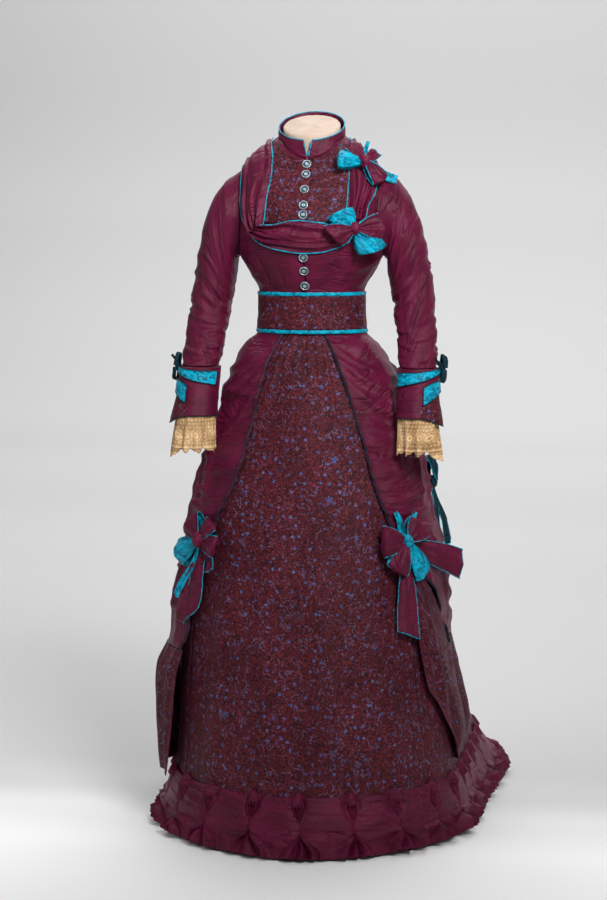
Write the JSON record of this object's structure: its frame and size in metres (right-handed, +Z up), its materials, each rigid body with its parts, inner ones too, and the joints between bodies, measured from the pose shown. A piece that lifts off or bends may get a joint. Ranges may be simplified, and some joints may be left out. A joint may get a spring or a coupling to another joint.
{
  "type": "afternoon dress on dress form",
  "caption": "Plum silk afternoon dress with brocade skirt and belt, draped bodice, teal bows and gathered train flounce, on a limbless dress form.",
  "frame": {"origin": "centre of the underside of the form's base, on the floor", "axes": "+Z up; the dress faces -Y; +X is the wearer's left"},
  "size_m": [0.7222, 1.0703, 1.4],
  "materials": {
    "plum_silk": "crisp plum silk taffeta, soft sheen",
    "brocade": "wine and black figured silk with small blue sprigs",
    "teal_satin": "teal satin, bright sheen",
    "dark_satin": "dark teal satin in shade",
    "lace": "ecru lace, matte",
    "button": "grey-blue turned button with a ring",
    "linen": "plain linen cover, matte",
    "stand": "dark satin paint"
  },
  "bodies": {
    "root": {"form_torso": "linen", "form_pole": "stand", "form_base": "stand", "bodice_front_right": "plum_silk", "bodice_front_left": "plum_silk", "bodice_back_right": "plum_silk", "bodice_back_left": "plum_silk", "plastron": "brocade", "collar": "plum_silk", "drape_right": "plum_silk", "drape_front": "plum_silk", "drape_left": "plum_silk", "belt_band": "brocade", "belt_edge_top": "teal_satin", "belt_edge_bottom": "teal_satin", "sleeve_right": "plum_silk", "sleeve_left": "plum_silk", "cuff_right": "plum_silk", "cuff_left": "plum_silk", "cuff_band_upper_right": "teal_satin", "cuff_band_upper_left": "teal_satin", "cuff_band_lower_right": "teal_satin", "cuff_band_lower_left": "teal_satin", "cuff_lace_right": "lace", "cuff_lace_left": "lace", "cuff_bow_right": "dark_satin", "cuff_bow_left": "dark_satin", "skirt_front": "brocade", "skirt_right": "brocade", "skirt_left": "brocade", "skirt_back": "brocade", "overskirt_right": "plum_silk", "overskirt_left": "plum_silk", "overskirt_back": "plum_silk", "side_drape_right": "brocade", "side_drape_left": "brocade", "flounce_front": "plum_silk", "flounce_right": "plum_silk", "flounce_left": "plum_silk", "flounce_back_right": "plum_silk", "flounce_back_left": "plum_silk", "bow_upper_plum": "plum_silk", "bow_upper_teal": "teal_satin", "bow_lower_plum": "plum_silk", "bow_lower_teal": "teal_satin", "bow_hip_right_plum": "plum_silk", "bow_hip_right_teal": "teal_satin", "bow_hip_left_plum": "plum_silk", "bow_hip_left_teal": "teal_satin", "bow_back": "dark_satin", "button_1": "button", "button_2": "button", "button_3": "button", "button_4": "button", "button_5": "button", "button_6": "button", "button_7": "button", "button_8": "button"}
  },
  "joints": []
}
